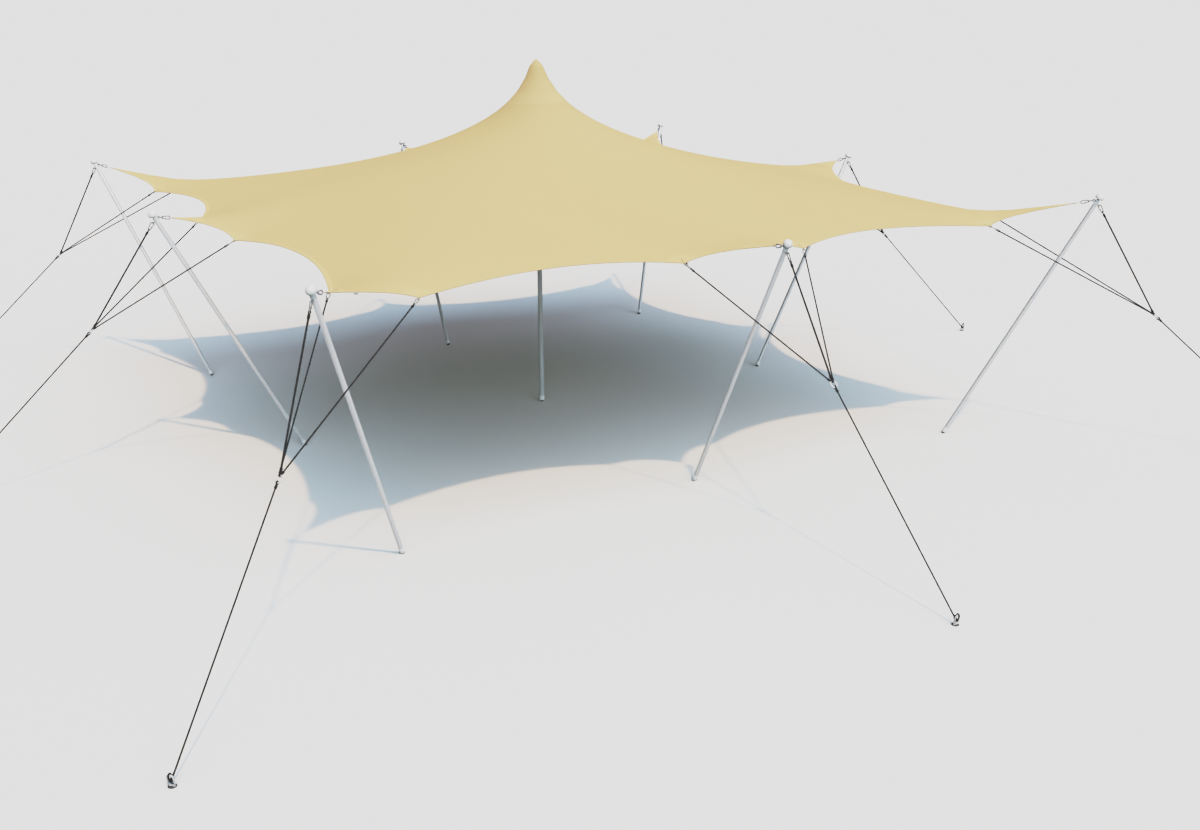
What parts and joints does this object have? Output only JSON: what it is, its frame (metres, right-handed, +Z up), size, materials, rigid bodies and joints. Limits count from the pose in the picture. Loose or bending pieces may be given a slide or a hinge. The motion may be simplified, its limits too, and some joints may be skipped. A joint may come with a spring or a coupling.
{
  "type": "stretch tent",
  "caption": "Square stretch tent: one tensioned sand-coloured membrane over an upright centre pole, leaning side poles with ball heads, rope guy bridles and ground stakes.",
  "frame": {"origin": "on the ground at the middle of the square of side poles and stakes; the centre pole stands 0.15 m off it, as in the picture", "axes": "+Z up; +X along the front edge to the right, seen from the front; +Y from the front edge to the back"},
  "size_m": [15.212, 15.212, 4.505],
  "materials": {
    "membrane": "matt woven stretch cloth, sand yellow",
    "pole_tube": "pale satin tube",
    "pole_head": "white, satin",
    "rope": "black braided rope",
    "steel": "bright zinc-plated steel"
  },
  "bodies": {
    "root": {"canopy": "membrane", "centre_pole": "pole_tube", "centre_pole_cap": "pole_head", "pole_right": "pole_tube", "pole_head_right": "pole_head", "guy_bridle_right": "rope", "guy_rope_right": "rope", "stake_right": "steel", "pole_back_right": "pole_tube", "pole_head_back_right": "pole_head", "guy_bridle_back_right": "rope", "guy_rope_back_right": "rope", "stake_back_right": "steel", "pole_back": "pole_tube", "pole_head_back": "pole_head", "guy_bridle_back": "rope", "guy_rope_back": "rope", "stake_back": "steel", "pole_back_left": "pole_tube", "pole_head_back_left": "pole_head", "guy_bridle_back_left": "rope", "guy_rope_back_left": "rope", "stake_back_left": "steel", "pole_left": "pole_tube", "pole_head_left": "pole_head", "guy_bridle_left": "rope", "guy_rope_left": "rope", "stake_left": "steel", "pole_front_left": "pole_tube", "pole_head_front_left": "pole_head", "guy_bridle_front_left": "rope", "guy_rope_front_left": "rope", "stake_front_left": "steel", "pole_front": "pole_tube", "pole_head_front": "pole_head", "guy_bridle_front": "rope", "guy_rope_front": "rope", "stake_front": "steel", "pole_front_right": "pole_tube", "pole_head_front_right": "pole_head", "guy_bridle_front_right": "rope", "guy_rope_front_right": "rope", "stake_front_right": "steel"}
  },
  "joints": []
}
